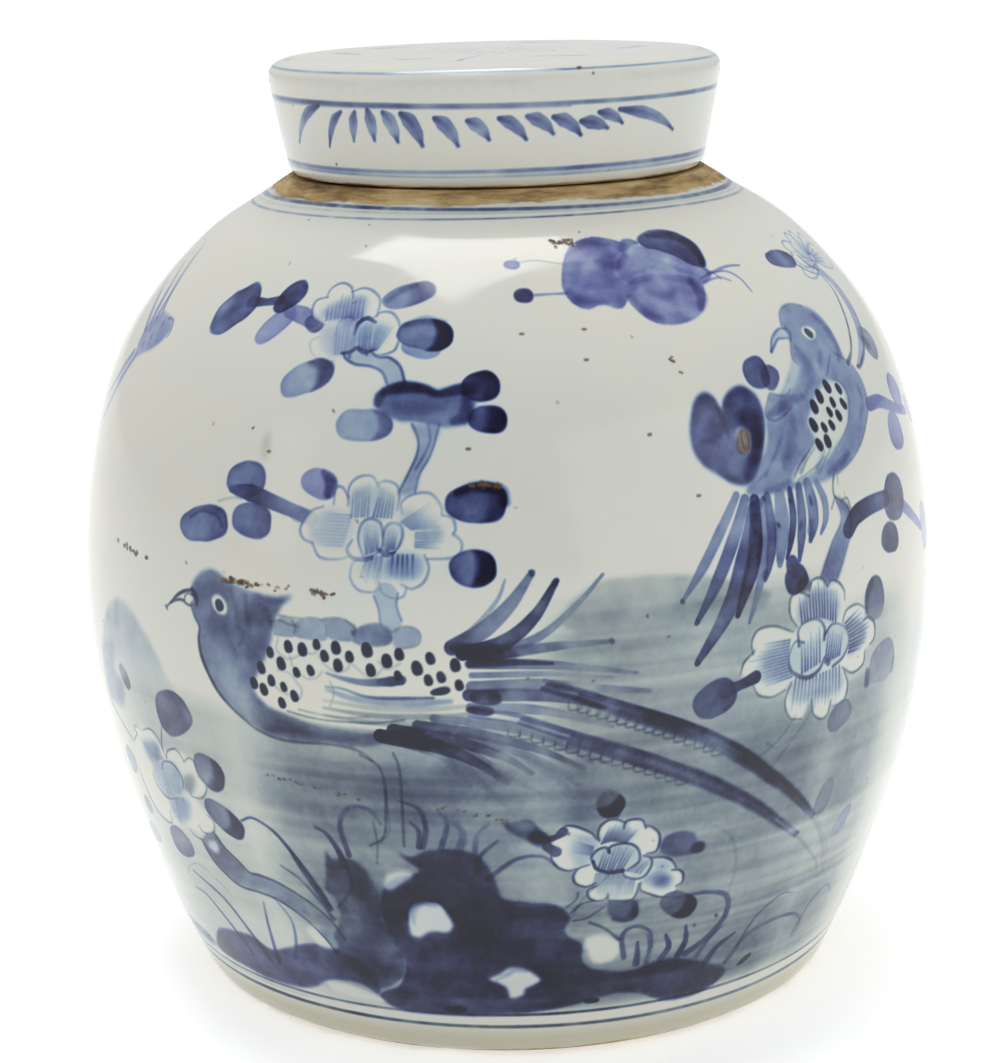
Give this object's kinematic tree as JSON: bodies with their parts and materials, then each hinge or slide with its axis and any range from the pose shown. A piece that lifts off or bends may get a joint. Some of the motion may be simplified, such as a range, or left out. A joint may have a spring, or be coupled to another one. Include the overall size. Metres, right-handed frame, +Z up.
{
  "type": "ginger jar",
  "caption": "Wide-bellied glazed porcelain storage jar with a short neck and a flat-topped lift-off cap lid.",
  "frame": {"origin": "middle of the foot ring, on the surface the jar stands on", "axes": "+Z up along the jar's own axis; -Y towards the painted front, +X to the viewer's right"},
  "size_m": [0.2366, 0.2366, 0.2525],
  "materials": {
    "jar_glaze": "gloss glaze over painted cobalt blue birds, flowers and rocks",
    "lid_glaze": "gloss glaze over painted cobalt blue lines and leaves"
  },
  "bodies": {
    "jar": {"jar_body": "jar_glaze"},
    "lid": {"lid": "lid_glaze"}
  },
  "joints": [
    {"name": "lid_lift", "type": "slide", "parent": "jar", "child": "lid", "axis": [0, 0, 1], "range_m": [0, 0.1]}
  ]
}
